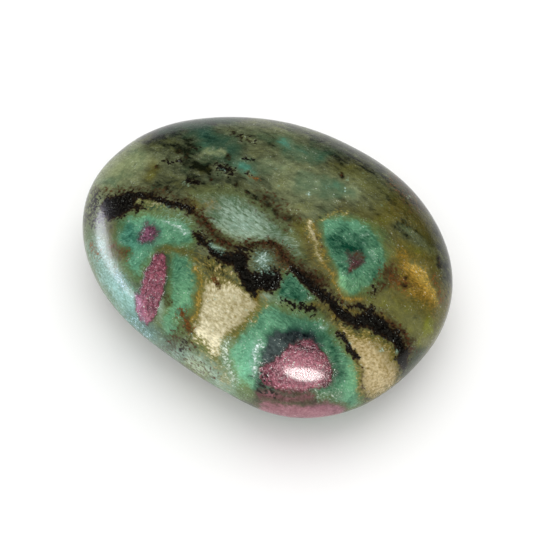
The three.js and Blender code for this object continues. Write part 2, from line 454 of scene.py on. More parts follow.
        "flakeRim": seam([(313, 236), (318, 241), (322, 247)], 1.2, 1.5, share=0.7, light=0.2),
        "rubyFootBrown": seam([(270, 390), (285, 395), (305, 397)], 4, 4, share=0.5, light=0.1),
        "topSpecks": specks([(165, 160), (174, 161), (157, 166), (178, 149), (187, 155), (227, 157),
            (233, 133), (242, 137), (250, 140), (166, 190), (212, 180), (235, 186), (247, 192), (340, 176),
            (440, 258), (440, 266), (270, 205), (276, 210), (404, 285), (406, 276)], 1.6, 1.4, share=0.9,
            light=-1.2),
    },
    "black": {
        "leftLobe": patch([(101, 203), (112, 196), (124, 192), (142, 192), (153, 196), (147, 199),
            (138, 200), (135, 205), (143, 206), (143, 208), (134, 211), (124, 216), (117, 220), (107, 219),
            (103, 212)], 3),
        # partly painted reflection: black is drawn paler and bluer where the gloss stripe's haze lies over it
        "leftBlackAndReflection": seam([(93, 200), (94, 210), (95, 220)], 6, 5, share=0.7, light=0.5, warm=-0.3),
        "tail": seam([(150, 195), (160, 200), (172, 203), (184, 206), (192, 209)], 3.2, 2.6),
        "mass": patch([(193, 233), (200, 233), (206, 240), (213, 247), (222, 252), (232, 253), (240, 250),
            (247, 253), (249, 262), (252, 269), (262, 272), (271, 268), (279, 272), (281, 279), (275, 288),
            (267, 291), (260, 289), (257, 294), (249, 292), (243, 284), (239, 275), (233, 265), (221, 260),
            (211, 255), (204, 248), (197, 242)], 3.2),
        "massTop": seam([(238, 250), (247, 248), (252, 252)], 3, 3, share=0.8, light=0.1),
        "run": seam([(295, 269), (304, 278), (312, 287), (322, 295), (331, 303.5), (339, 311.5),
            (348, 317)], 5, 3.2),
        "rightMass": patch([(336, 310), (346, 313), (358, 317), (366, 312), (367, 306), (373, 308),
            (377, 315), (385, 320), (393, 327), (400, 333), (405, 342), (408, 351), (408, 359), (408, 367),
            (403, 371), (399, 362), (396, 351), (390, 341), (383, 335), (373, 332), (361, 329), (352, 325),
            (344, 318)], 3),
        "upperLine": seam([(354, 306), (362, 306), (369, 309)], 1.6, 1.8),
        "sideStreak": seam([(284, 302), (294, 305), (304, 307), (316, 312)], 3, 3, share=0.9, light=-0.1),
        "diagonal": seam([(219, 167), (225, 170), (231, 173)], 3.2, 2.6, share=0.99),
        "topDash": seam([(246, 158), (254, 160)], 1.2, 1.4, share=0.8, warm=-0.5),
        "topStreak": seam([(230, 132), (242, 136), (254, 140)], 2, 3, share=0.5, light=0.2),
        "topDashes": seam([(162, 160), (171, 161), (179, 160)], 1.6, 1.4, share=0.95),
        "darkKnotLow": seam([(186, 181), (193, 181), (200, 182)], 1.8, 1.2, share=0.99),
        "darkFleck": seam([(247, 158), (252, 160)], 1.8, 1.5, share=0.95, warm=-0.6),
        "darkTick": seam([(190, 147), (197, 149)], 1.6, 1.8, share=0.7),
        "turnSpots": specks([(198, 229), (197, 236), (249, 176), (186, 341), (184, 347), (375, 289)], 2.2,
            2.4, share=0.8, light=0.1),
        "rubyFoot": seam([(258, 378), (264, 384), (270, 391)], 5, 5, share=0.5),
        "cornerLine": seam([(338, 331), (346, 339), (351, 347), (355, 357)], 2.6, 2.2, light=0.1),
    },
    "flake": {
        "ball": seam([(262, 260), (266, 261), (265, 264)], 6, 4, share=0.78, light=-0.6),
        "ballHeart": seam([(263, 260), (266, 261)], 3.5, 4),
        "headFlakes": seam([(164, 222), (170, 223), (178, 228), (187, 232)], 2, 1.8, share=0.85, light=0.3),
        "headHaze": seam([(166, 216), (182, 222)], 5, 6, share=0.42, light=-0.1),
        "mintStreak": seam([(233, 225), (250, 228)], 2.5, 4, share=0.6),
        "massFlake": seam([(210, 245), (213, 247), (221, 250)], 1.8, 2, share=0.8),
        "haloStreak": seam([(258, 344), (255, 356), (254, 373)], 3.6, 4, share=0.92, light=0.65),
        "ringSparks": seam([(322, 326), (327, 324)], 1.6, 1.8, share=0.8, light=0.2),
        "eyeArc": seam([(371, 252), (375, 258)], 1, 1.8, share=0.7),
        "eyeArcTop": seam([(360, 236), (366, 233)], 1.2, 1.8, share=0.7),
        "sparks": specks([(188, 184.5), (183, 184.5), (223, 169.5), (346, 181), (309, 193), (364, 173),
            (381, 206), (343, 190), (313, 220), (292, 231), (311, 297), (197, 265), (193, 335), (276, 171),
            (279, 187), (327, 186), (408.5, 197), (143, 231), (211, 245.5), (396, 352), (230, 347),
            (324, 325), (327, 322), (240, 341), (256, 351), (262, 331), (251, 322), (345, 383), (239, 366),
            (247, 361), (352, 341), (266, 258), (260, 262), (243, 216), (251, 219), (236, 224), (175, 224),
            (169, 221), (166, 331), (173, 325), (160, 341), (218, 296), (236, 299), (226, 318), (212, 330),
            (246, 309), (375, 343), (381, 349), (357, 229), (364, 244)], 0.7, 1.3, share=0.9, light=0.3),
        # partly painted highlight: a pale streak along the ring's left edge, with pale flakes and a white
        # highlight drawn together
        "ringSidePaleAndHighlight": seam([(227, 343), (226, 356), (229, 368), (234, 380)], 4, 4.5, share=0.85, light=0.8,
            warm=0.5),
        "greyFoot": seam([(318, 393), (328, 394), (337, 394)], 4, 4.5, share=0.7, light=-0.2, warm=0.9),
        # painted reflection and highlight: a pale blue haze is drawn on the lower-left rim and along the
        # gloss stripe
        "rimReflectionHaze": seam([(130, 317), (140, 326), (150, 335)], 4, 5, share=0.8, warm=-1),
        "rimHighlightGlow": seam([(117, 272), (126, 286)], 3.5, 4, share=0.8, warm=-1),
    },
}

# The hidden side has marks of its own. They are drawn on the plan as seen from above, in tenths of
# a millimetre, with the side walls folded outward so that a mark on them isn't drawn out.
tenths = 10  # in a millimetre
backVein = [(-236, 40), (-206, 78), (-172, 104), (-140, 122), (-104, 124), (-78, 142), (-44, 172)]
underMarks = {
    "schist": {
        "paleSide": seam([(-195, 70), (-140, 150)], 24, 28, light=0.2, warm=-0.1),
        "darkSide": seam([(20, 200), (130, 185)], 20, 26, light=-0.35, warm=-0.2),
        "oliveSide": seam([(225, 30), (185, 120)], 28, 28, warm=0.6),
        "tealSide": seam([(-80, 182), (-20, 202)], 8, 9, light=0.1, warm=-0.8),
        "tealHigh": seam([(30, 222), (70, 215)], 6, 8, light=0.1, warm=-0.7),
        "tealLow": seam([(-220, -20), (-195, -50)], 8, 9, light=0.1, warm=-0.7),
        "oliveFoot": seam([(-60, -20), (-110, 0)], 14, 18, warm=0.4),
        "paleFoot": seam([(-70, -140), (10, -158)], 12, 16, light=0.35, warm=-0.1),
    },
    "mint": {
        "field": patch([(-20, 62), (25, 55), (80, 48), (110, 62), (70, 95), (10, 105), (-28, 92)], 10,
            share=0.85, light=-0.1),
        "rim": seam([(-212, -78), (-160, -140), (-100, -176), (-30, -192), (45, -196)], 18, 12, share=0.75,
            warm=-0.2),
        "backField": seam([(-60, 190), (-30, 204), (0, 212)], 8, 9, share=0.8),
    },
    "emerald": {
        "nearRing": patch([(44, -72), (58, -114), (100, -140), (150, -124), (176, -84), (156, -38),
            (112, -18), (70, -32)], 6, light=0.05),
        "nearInner": seam([(66, -60), (62, -90)], 6, 8, light=-0.3),
        "farRing": patch([(-136, 48), (-112, 18), (-70, 10), (-40, 32), (-34, 66), (-66, 100), (-104, 92)],
            6),
        "farInner": seam([(-118, 60), (-96, 88)], 5, 7, light=-0.25),
        "seedRing": patch([(-96, -78), (-80, -110), (-48, -104), (-26, -86), (-42, -56), (-76, -54)], 5,
            light=-0.05),
        "ringFoot": seam([(210, -116), (188, -106)], 9, 6, light=0.1),
        "backRing": patch([(-152, 160), (-144, 136), (-118, 132), (-96, 152), (-104, 178), (-134, 186)], 5),
    },
    "cream": {
        "bed": patch([(-32, -38), (-5, -6), (28, 4), (44, -18), (34, -52), (4, -74), (-22, -66)], 6,
            light=0.05),
        "corner": seam([(246, -54), (222, -78)], 11, 8, share=0.9, light=-0.1),
        "seam": seam([(-20, 62), (30, 52), (80, 46)], 3, 4, share=0.7),
        "backSeam": seam([(-190, 40), (-160, 78), (-126, 98), (-96, 100)], 4, 6, share=0.8, light=-0.1),
    },
    "ochre": {
        "bedRim": seam([(-36, -40), (-24, -70), (4, -80), (36, -56)], 3, 5, share=0.8),
        "gold": seam([(226, 44), (200, 84), (172, 112)], 12, 12, share=0.7, light=-0.1, warm=0.3),
        "veinSide": seam([(140, 30), (100, 24), (60, 27)], 4, 6, share=0.6, light=-0.3),
        "backRim": seam([(-158, 166), (-134, 192), (-102, 184)], 3, 5, share=0.8, light=-0.1),
    },
    "slate": {
        "nearHalo": patch([(66, -80), (80, -110), (110, -122), (143, -102), (149, -72), (126, -46),
            (86, -47)], 4.5, light=-0.2),
        "backHalo": seam([(-132, 161), (-118, 157)], 11, 4, share=0.9, light=-0.2),
        "farHalo": patch([(-113, 55), (-96, 32), (-70, 27), (-52, 42), (-51, 68), (-75, 83), (-101, 79)], 4,
            light=-0.2),
    },
    "ruby": {
        "near": patch([(76, -80), (86, -103), (108, -112), (134, -97), (139, -72), (120, -55), (92, -56)],
            3, light=0.05),
        "nearHeart": seam([(98, -84), (118, -86)], 7, 9, light=0.25),
        "far": patch([(-103, 55), (-90, 38), (-71, 36), (-60, 49), (-62, 65), (-79, 74), (-96, 71)], 3,
            light=-0.05),
        "seed": seam([(-66, -84), (-56, -79)], 7, 3, light=-0.1),
        "backSeed": seam([(-130, 160), (-120, 157)], 7, 3, light=-0.1),
    },
    "pink": {
        "foot": seam([(122, -170), (160, -149), (188, -122)], 11, 7, share=0.95),
    },
    "brown": {
        "seam": seam(backVein + [(0, 196), (50, 208)], 4, 5),
        "dust": seam([(-40, 210), (20, 218)], 6, 8, share=0.5, light=-0.2),
        "leftDust": seam([(-222, 0), (-214, 40)], 6, 8, share=0.5, light=-0.2),
        "specks": specks([(-20, 130), (40, 142), (70, 128), (120, 100), (-60, 110), (20, 84), (-150, 0),
            (150, 50), (0, -110), (-110, -70), (150, 190), (-150, 180)], 2, 3, share=0.8),
    },
    "black": {
        "vein": seam([(249, -38), (205, -12), (170, 2), (138, 18), (98, 11), (60, 14), (24, 29), (-16, 31),
            (-44, 4), (-90, -20), (-132, -54), (-180, -92), (-221, -118)], 4, 3.5),
        "knot": seam([(100, 8), (78, 14), (58, 10)], 8, 4),
        "tail": seam([(-90, -22), (-130, -56), (-215, -112)], 7, 4.5),
        "seam": seam(backVein, 2.5, 3.5),
    },
    "flake": {
        "haze": seam([(20, 70), (60, 66)], 5, 7, share=0.5),
        "sparks": specks([(-70, 20), (60, -122), (0, 118), (140, 70), (-120, 90), (0, -20), (80, 200),
            (-60, 190)], 1.2, 1.6, share=0.9, light=0.3),
    },
}

# How the marks' edges wander and fade. Each step is a wavelength in millimetres and its reach in the
# marks' own units.
edgeGrain = {
    "wobble": [(2.6, 1.5), (1.2, 1.2), (0.55, 1.0), (0.3, 0.8)],
    "bend": [(6.0, 9.0), (2.2, 5.0)],  # the same for the hidden marks alone
    "fold": 0.8,  # how far outward a hidden place is drawn for its height
    "handOver": 0.55,  # how far round the edge the photograph's marks give way to the hidden ones
    "halo": 1.3,  # how far solid black has brown round it
    "soften": {  # how much softer than drawn each mineral fades
        "schist": 1.3, "mint": 1.8, "emerald": 2.0, "cream": 1.9, "ochre": 1.8, "rust": 1.8, "slate": 1.6,
        "ruby": 1.2, "pink": 1.6, "brown": 1.9, "black": 1.6, "flake": 1.8,
    },
}
noiseReach = 0.5  # about how far the noise goes each way
curveSteps = 5  # straight pieces between two points of a mark


def noiseAt(places, size):
    return np.array([noise.noise(Vector(place)) for place in (places / size).tolist()])


def twoNoises(size, first, second):  # unlike noises, because each is read this many millimetres away
    return np.c_[noiseAt(points + first, size), noiseAt(points + second, size)]


def wander(steps, first, second):  # an uneven shift of every vertex, about so far each way
    return sum(amount / noiseReach * twoNoises(size, first, second) for size, amount in steps)


def smooth(x):
    x = np.clip(x, 0, 1)
    return x * x * (3 - 2 * x)


def roundCurve(line, closed):  # a smooth curve through the points of a mark
    line = np.array(line, float)
    if closed:
        line = np.vstack([line[-1:], line, line[:2]])
    elif len(line) > 2:
        line = np.vstack([2 * line[0] - line[1], line, 2 * line[-1] - line[-2]])
    else:
        return line
    a, b, c, d = line[:-3, None], line[1:-2, None], line[2:-1, None], line[3:, None]
    t = np.linspace(0, 1, curveSteps, endpoint=False)[None, :, None]
    square, cube = 2 * a - 5 * b + 4 * c - d, 3 * b - a - 3 * c + d
    curve = (0.5 * (2 * b + (c - a) * t + square * t**2 + cube * t**3)).reshape(-1, 2)
    return np.vstack([curve, curve[:1] if closed else line[-2:-1]])


def distanceTo(line, at):
    nearest = np.full(len(at), 1e9)
    for a, b in zip(line[:-1], line[1:]):
        run = b - a
        share = np.clip((at - a) @ run / max(run @ run, 1e-9), 0, 1)
        nearest = np.minimum(nearest, np.hypot(*(at - a - share[:, None] * run).T))
    return nearest


def inside(edge, at):
    within = np.zeros(len(at), bool)
    for (ax, ay), (bx, by) in zip(edge[:-1], edge[1:]):
        if ay != by:
            crosses = (ay > at[:, 1]) != (by > at[:, 1])
            within ^= crosses & (at[:, 0] < ax + (at[:, 1] - ay) * (bx - ax) / (by - ay))
    return within


def coverOf(mark, at, soften):  # how much of the mark lies at each place, 0 to 1
    cover = np.zeros(len(at))
    width, fade = mark["width"], mark["fade"] * soften
    for places in mark["lines"]:
        line = roundCurve(places, mark["closed"])
        margin = width + fade + 1
        near = np.all((at > line.min(axis=0) - margin) & (at < line.max(axis=0) + margin), axis=1)
        depth = distanceTo(line, at[near])
        signed = np.where(inside(line, at[near]), depth, -depth) if mark["closed"] else width - depth
        cover[near] = np.maximum(cover[near], smooth(0.5 + signed / (2 * fade)))
    return cover * mark.get("share", 1)


plainPhoto = toPhoto(points)
hidden = smooth(-(normals @ back) / edgeGrain["handOver"])  # 0 where the camera sees the stone
wobble = wander(edgeGrain["wobble"], 0, 50)
outward = 1 + edgeGrain["fold"] * points[:, 2] / np.maximum(np.hypot(points[:, 0], points[:, 1]), 1)
unfolded = points[:, :2] * tenths * outward[:, None] + wander(edgeGrain["bend"], 30, 70)

covers = {mineral: np.zeros(len(points)) for mineral in marks}
light, warm = np.zeros(len(points)), np.zeros(len(points))
for drawn, at, seen in ((marks, plainPhoto + wobble, 1 - hidden), (underMarks, unfolded + wobble, hidden)):
    for mineral, group in drawn.items():
        for mark in group.values():
            cover = coverOf(mark, at, edgeGrain["soften"][mineral]) * seen
            covers[mineral] = np.maximum(covers[mineral], cover)
            if mineral == "black" and "share" not in mark:
                covers["brown"] = np.maximum(covers["brown"], smooth(cover * edgeGrain["halo"]))
            light += (mark.get("light", 0) - light) * cover
            warm += (mark.get("warm", 0) - warm) * cover
print("marks laid:", sum(len(group) for drawn in (marks, underMarks) for group in drawn.values()))


def surfaceAt(pixel):  # the place on the stone that is seen at a pixel, and the way it faces
    seen = normals @ back > photoCamera["grazing"]
    gap = np.where(seen, np.hypot(*(plainPhoto - pixel).T), 1e9)
    nearest = np.argmin(gap)
    return points[nearest], normals[nearest]


# Which way the fibres lie over the plan: out from each crystal, and else along the rock's layers
fibreFlow = {
    "heading": 18,  # of the rock's layers over the plan, in degrees
    "layered": 0.7,  # how strongly the fibres keep to them
    "drifts": [(7.0, 1.6), (2.5, 1.0)],  # millimetres from one heading to the next, and strength
    "radial": 1.6,  # how strongly they turn out from a crystal
    "crystals": [  # the pixel of its middle, and its reach in millimetres
        ((300, 365), 5.5), ((152, 290), 3.0), ((148, 234), 2.6), ((354, 260), 3.6), ((262, 260), 2.2)],
}
# A fibre has no front end, so its heading is kept doubled, as a point on a circle
doubled = 2 * fibreFlow["heading"] * degree
flow = fibreFlow["layered"] * np.array([math.cos(doubled), math.sin(doubled)])
flow = flow + sum(strength * twoNoises(size, 0, 90) for size, strength in fibreFlow["drifts"])
for pixel, extent in fibreFlow["crystals"]:
    x, y = (points[:, :2] - surfaceAt(pixel)[0][:2]).T
    square = x * x + y * y + 1e-6
    out = fibreFlow["radial"] * np.exp(-square / extent**2) * (1 - hidden) / square
    flow += out[:, None] * np.c_[x * x - y * y, 2 * x * y]
flow /= np.linalg.norm(flow, axis=1)[:, None] + 1e-6

# The polish is a little uneven: the hard crystals stand up and the soft vein lies low
relief = {
    "waves": [(9.0, 0.06), (3.5, 0.016), (1.4, 0.005)],  # wavelength and height in millimetres
    "minerals": {"ruby": 0.03, "emerald": 0.01, "cream": -0.01, "black": -0.008},
    "footFade": 1.5,  # height over the foot by which the relief is full
}
raised = sum(height * noiseAt(points + 20, size) for size, height in relief["waves"])
raised += sum(height * covers[mineral] for mineral, height in relief["minerals"].items())
raised *= smooth(points[:, 2] / relief["footFade"])
worn = points + raised[:, None] * normals

stoneData = bpy.data.meshes.new("tumbledStone")
stoneData.from_pydata((worn * mm).tolist(), [], faces.tolist())
stoneData.shade_smooth()
fields = {**covers, "light": light, "warm": warm, "flowAlong": flow[:, 0], "flowAcross": flow[:, 1]}
for name, values in fields.items():
    stoneData.attributes.new(name, "FLOAT", "POINT").data.foreach_set("value", values.astype(np.float32))
stone = bpy.data.objects.new("tumbledStone", stoneData)
bpy.context.scene.collection.objects.link(stone)
print("stone built")

# Colours as seen on a screen, 0 to 255: the dark and pale ends of each mineral, and its fringe
palette = {
    "schist": [(26, 32, 16), (136, 144, 102), (84, 88, 58)],
    "ochreSchist": [(44, 48, 6), (132, 144, 54), (92, 94, 32)],
    "tealSchist": [(22, 54, 38), (104, 156, 120), (72, 102, 72)],
    "mint": [(98, 130, 96), (196, 222, 202), (120, 138, 88)],
    "emerald": [(0, 78, 54), (138, 206, 160), (104, 136, 78)],
    "cream": [(158, 142, 78), (252, 244, 208), (150, 138, 62)],
    "ochre": [(100, 80, 14), (198, 162, 66), (112, 102, 40)],
    "rust": [(54, 24, 8), (162, 102, 44), (92, 72, 34)],
    "slate": [(4, 16, 22), (98, 116, 112), (36, 70, 58)],
    "ruby": [(44, 6, 18), (190, 108, 126), (84, 50, 50)],
    "pink": [(132, 72, 84), (208, 150, 160), (122, 94, 84)],
    "brown": [(12, 6, 2), (86, 54, 29), (70, 58, 32)],
    "black": [(0, 0, 0), (32, 30, 24), (36, 25, 12)],
    "flake": [(120, 164, 152), (230, 246, 240), (120, 156, 134)],
}


def lies(mingle, crisp, contrast, spark, grain, texture):
    return {"Mingle": mingle, "Crisp": crisp, "Contrast": contrast}, spark, grain, texture


# How each mineral lies over those before it: how far its grains mix over an edge, how sharp the edge
# is, how strong its texture is, how much of it gets pale specks painted in as glints, the noises that
# break its edge, and the noises that vary its tone
layers = {
    "mint": lies(0.9, 1.0, 1.1, 0.5, ("Fibre", "Mottle"), ("Strand", "Fibre")),
    "emerald": lies(0.9, 1.0, 0.75, 0.6, ("Fibre", "Mottle"), ("Mottle", "Fibre")),
    "cream": lies(1.8, 1.4, 0.75, 0.5, ("Fibre", "Grit"), ("Fibre", "Facet")),
    "ochre": lies(1.0, 1.0, 1.0, 0.6, ("Fibre", "Grit"), ("Fibre", "Mottle")),
    "rust": lies(1.9, 1.6, 1.0, 0.1, ("Fine", "Grit"), ("Grit", "Fibre")),
    "slate": lies(1.0, 1.2, 1.0, 0.5, ("Strand", "Fibre"), ("Strand", "Mottle")),
    "ruby": lies(0.9, 1.6, 1.0, 1.0, ("Fibre", "Grit"), ("Grit", "Fine")),
    "pink": lies(0.8, 1.2, 0.8, 0.1, ("Fibre", "Mottle"), ("Strand", "Mottle")),
    "brown": lies(1.8, 1.3, 1.5, 0.1, ("Fibre", "Facet"), ("Facet", "Fine")),
    "black": lies(2.2, 2.4, 1.3, 0.25, ("Fibre", "Facet"), ("Facet", "Fine")),
    "flake": lies(1.3, 1.3, 1.2, 0.7, ("Fibre", "Fine"), ("Fibre", "Fine")),
}
pairShares = (0.6, 0.4)  # of the first and the second of a mineral's noises


def linear(colour):
    return tuple(((v / 255 + 0.055) / 1.055) ** 2.4 if v > 10 else v / 255 / 12.92 for v in colour) + (1,)


def newGroup(name, inputs, outputs):
    tree = bpy.data.node_groups.new(name, "ShaderNodeTree")
    for direction, sockets in (("INPUT", inputs), ("OUTPUT", outputs)):
        for socketName, kind, value in sockets:
            socket = tree.interface.new_socket(socketName, in_out=direction, socket_type="NodeSocket" + kind)
            if value is not None:
                socket.default_value = value
    return tree, tree.nodes.new("NodeGroupInput"), tree.nodes.new("NodeGroupOutput")


def node(tree, kind, values=(), **settings):
    made = tree.nodes.new("ShaderNode" + kind)
    for name, value in settings.items():
        setattr(made, name, value)
    for name, value in dict(values).items():
        if isinstance(value, bpy.types.NodeSocket):
            tree.links.new(value, made.inputs[name])
        else:
            made.inputs[name].default_value = value
    return made


def calc(tree, operation, *values, clamp=False):
    return node(tree, "Math", enumerate(values), operation=operation, use_clamp=clamp).outputs[0]


def times(tree, value, factor, plus=0.0, clamp=False):
    return calc(tree, "MULTIPLY_ADD", value, factor, plus, clamp=clamp)


def centred(tree, value, factor, middle=0.5, plus=0.5, clamp=False):  # stronger or weaker about its middle
    return times(tree, calc(tree, "SUBTRACT", value, middle), factor, plus, clamp)


def mixColour(tree, factor, first, second, blend="MIX"):
    return node(tree, "Mix", {0: factor, 6: first, 7: second}, data_type="RGBA", blend_type=blend).outputs[2]


# Grain that every mineral uses, at its real scale: each noise is spread to fill 0 to 1
grains = {  # cells per metre, detail, roughness
    "Fine": (5200.0, 1.0, 0.5),
    "Grit": (2100.0, 3.0, 0.6),
    "Mottle": (800.0, 4.0, 0.6),
    "Cloud": (260.0, 3.0, 0.55),
    "Streak": (1500.0, 4.0, 0.6),
    "Facet": (3300.0, 0.0, 0.5),
    "Glint": (6800.0, 1.0, 0.5),
}
streaks = {"Rotation": (0, 0, -7.5 * degree), "Scale": (0.28, 1, 0.8)}  # drawn out along the rock's layers
grainTree, grainIn, grainOut = newGroup(
    "stoneGrain",
    [("Vector", "Vector", None), ("Spread", "Float", 2.4)],
    [(name, "Float", None) for name in grains],
)
place = grainIn.outputs["Vector"]
drawnOut = node(grainTree, "Mapping", {"Vector": place, **streaks}).outputs[0]
for name, (scale, detail, roughness) in grains.items():
    made = node(grainTree, "TexNoise", {
        "Vector": drawnOut if name == "Streak" else place, "Scale": scale, "Detail": detail,
        "Roughness": roughness, "Distortion": 0.3})
    spread = centred(grainTree, made.outputs[0], grainIn.outputs["Spread"])
    grainTree.links.new(spread, grainOut.inputs[name])

# Fibres that follow the flow: headings of stretched noise, of which each place shows its own
fibres = {"Fibre": (6400.0, 2.0), "Strand": (2900.0, 3.0)}  # cells per metre across, detail
headings = 4
headingEdge = 3.0  # how sharply one heading gives way to the next
fibreTree, fibreIn, fibreOut = newGroup(
    "fibreGrain",
    [("Vector", "Vector", None), ("Along", "Float", 1.0), ("Across", "Float", 0.0),
     ("Stretch", "Float", 0.34), ("Spread", "Float", 2.2)],
    [(name, "Float", None) for name in fibres],
)
flat = node(fibreTree, "CombineXYZ", {0: fibreIn.outputs["Stretch"], 1: 1.0, 2: 0.8}).outputs[0]
sums = {name: 0.5 for name in fibres}
for step in range(headings):
    turn = math.pi * step / headings
    facing = times(fibreTree, fibreIn.outputs["Along"], 0.5 * math.cos(2 * turn), 0.5)
    facing = times(fibreTree, fibreIn.outputs["Across"], 0.5 * math.sin(2 * turn), facing)
    weight = calc(fibreTree, "POWER", facing, headingEdge)
    weight = calc(fibreTree, "MULTIPLY", weight, fibreIn.outputs["Spread"])
    turned = node(fibreTree, "VectorRotate", {"Vector": fibreIn.outputs["Vector"], "Angle": -turn})
    pressed = node(fibreTree, "VectorMath", {0: turned.outputs[0], 1: flat}, operation="MULTIPLY").outputs[0]
    for name, (scale, detail) in fibres.items():
        made = node(fibreTree, "TexNoise", {
            "Vector": pressed, "Scale": scale, "Detail": detail, "Distortion": 0.4})
        sums[name] = centred(fibreTree, made.outputs[0], weight, plus=sums[name])
for name, total in sums.items():
    fibreTree.links.new(total, fibreOut.inputs[name])

# One mineral laid over what is under it, with grains that mix along its edge and a fringe inside it
laying = {
    "solidFrom": 1.2,  # the cover at which no loose grains are left
    "nearEdge": 8.0,  # how soon grains begin where there is any cover
    "heartFrom": 0.55,  # the cover at which the fringe starts to give way
    "heartRise": 2.5,
    "lightReach": 0.8,  # how far a mark's light moves the tone from dark to pale
}
layerTree, layerIn, layerOut = newGroup(
    "mineralLayer",
    [("Under", "Color", None), ("Cover", "Float", 0.0), ("Grain", "Float", 0.5), ("Texture", "Float", 0.5),
     ("Light", "Float", 0.0), ("Mingle", "Float", 0.8), ("Crisp", "Float", 3.0), ("Contrast", "Float", 1.5),
     ("Dark", "Color", None), ("Pale", "Color", None), ("Fringe", "Color", None)],
    [("Color", "Color", None), ("Mask", "Float", None)],
)
given = layerIn.outputs
loose = calc(layerTree, "SUBTRACT", laying["solidFrom"], given["Cover"])
loose = calc(layerTree, "MULTIPLY", loose, given["Mingle"])
mixed = calc(layerTree, "ADD", given["Cover"], centred(layerTree, given["Grain"], loose, plus=0.0))
mask = centred(layerTree, mixed, given["Crisp"], clamp=True)
anyCover = calc(layerTree, "MULTIPLY", given["Cover"], laying["nearEdge"], clamp=True)
shown = calc(layerTree, "MULTIPLY", mask, anyCover)
heart = centred(layerTree, mixed, laying["heartRise"], laying["heartFrom"], 0.0, clamp=True)
texture = centred(layerTree, given["Texture"], given["Contrast"])
tone = times(layerTree, given["Light"], laying["lightReach"], texture, clamp=True)
own = mixColour(layerTree, tone, given["Dark"], given["Pale"])
fringed = mixColour(layerTree, heart, given["Fringe"], own)
layerTree.links.new(mixColour(layerTree, shown, given["Under"], fringed), layerOut.inputs["Color"])
layerTree.links.new(shown, layerOut.inputs["Mask"])

# The rock under the minerals, and the polish and fine grain over all of them
schist = {
    "noises": [("Streak", 0.35), ("Mottle", 0.25), ("Cloud", 0.15), ("Strand", 0.25)],
    "layer": {"Mingle": 0.0, "Contrast": 1.4},
    "tints": {"ochreSchist": 1.0, "tealSchist": -1.0},  # and the side of the warmth that each takes
    "tintLayer": {"Mingle": 0.4, "Crisp": 1.2, "Contrast": 1.0},
    "drift": [("Cloud", 0.6), ("Mottle", 0.4)],  # how it wanders between the tints by itself
    "driftReach": 1.1,
    # the share of the rock that gets painted glints
    "sparkle": 0.3,  # the share of it that glints
}
polish = {
    "grain": [("Fibre", 0.5), ("Fine", 0.3), ("Grit", 0.2)],
    "grainShade": (0.56, 0.92),  # how bright the darkest and the palest grains are
    "warmth": 0.24,  # how far a warm mark turns yellow, and a cool one blue
    "lightReach": 0.45,  # how far a mark's light brightens its colour
    # painted glints: pale specks are mixed into the base colour where the grain peaks, and there are more
    # where a mark is drawn light; some stand for white mica flecks
    "glintFrom": 0.84,  # the noise over which a grain glints
    "glintEdge": 7.0,
    "glintClusters": [("Mottle", 2.0), ("Grit", 1.0)],
    "glintGap": -1.35,  # nearer 0 spreads the glints out of their clusters
    "glintLight": 1.2,  # how far a mark's light makes it glint more
    "paintedGlintColour": (222, 232, 220),
    "roughness": (0.18, 0.30),  # of the smoothest grains and of the roughest
    "relief": [("Fine", 0.3), ("Grit", 0.4), ("Fibre", 0.3)],
    "rubyRelief": [("Facet", 1.6), ("Grit", 2.0), ("Glint", 1.8)],
    "bump": {"Strength": 0.4, "Distance": 0.05 * mm},
    "gloss": {
        "Coat Weight": 0.14, "Coat Roughness": 0.14, "Coat IOR": 1.6, "IOR": 1.5, "Specular IOR Level": 0.12},
}
material = bpy.data.materials.new("polishedStone")
material.use_nodes = True
tree = material.node_tree
tree.nodes.clear()
where = node(tree, "TexCoord").outputs["Object"]


def placeGroup(group, values):
    return node(tree, "Group", values, node_tree=group).outputs


def field(name):
    return node(tree, "Attribute", attribute_name=name).outputs["Fac"]


def colours(name):
    return dict(zip(("Dark", "Pale", "Fringe"), (linear(colour) for colour in palette[name])))


def blend(parts):  # noises added by their shares
    total = 0.0
    for name, share in parts:
        total = times(tree, grain[name], share, total)
    return total


grain = dict(placeGroup(grainTree, {"Vector": where}).items())
flowing = {"Vector": where, "Along": field("flowAlong"), "Across": field("flowAcross")}
grain.update(placeGroup(fibreTree, flowing).items())
lightField, warmField = field("light"), field("warm")
bedding = blend(schist["noises"])

base = {"Cover": 1.0, "Light": lightField, "Texture": bedding, **schist["layer"], **colours("schist")}
colour = placeGroup(layerTree, base)["Color"]
tint = times(tree, calc(tree, "SUBTRACT", blend(schist["drift"]), 0.5), schist["driftReach"], warmField)
for name, side in schist["tints"].items():
    colour = placeGroup(layerTree, {
        "Under": colour, "Cover": calc(tree, "MULTIPLY", tint, side, clamp=True), "Grain": bedding,
        "Texture": bedding, "Light": lightField, **schist["tintLayer"], **colours(name)})["Color"]

masks = {}
sparkle = schist["sparkle"]
for name, (look, spark, edgeNoises, ownNoises) in layers.items():
    made = placeGroup(layerTree, {
        "Under": colour, "Cover": field(name), "Grain": blend(zip(edgeNoises, pairShares)),
        "Texture": blend(zip(ownNoises, pairShares)), "Light": lightField, **look, **colours(name)})
    colour, masks[name] = made["Color"], made["Mask"]
    sparkle = node(tree, "Mix", {0: masks[name], 2: sparkle, 3: spark}).outputs[0]

low, high = polish["grainShade"]
grainShade = times(tree, blend(polish["grain"]), high - low, low)
red = times(tree, warmField, polish["warmth"], 1.0)
blue = times(tree, warmField, -polish["warmth"], 1.0)
warmth = node(tree, "CombineColor", {0: red, 1: 1.0, 2: blue}).outputs[0]
for factor in (grainShade, warmth, times(tree, lightField, polish["lightReach"], 1.0)):
    colour = mixColour(tree, 1.0, colour, factor, "MULTIPLY")
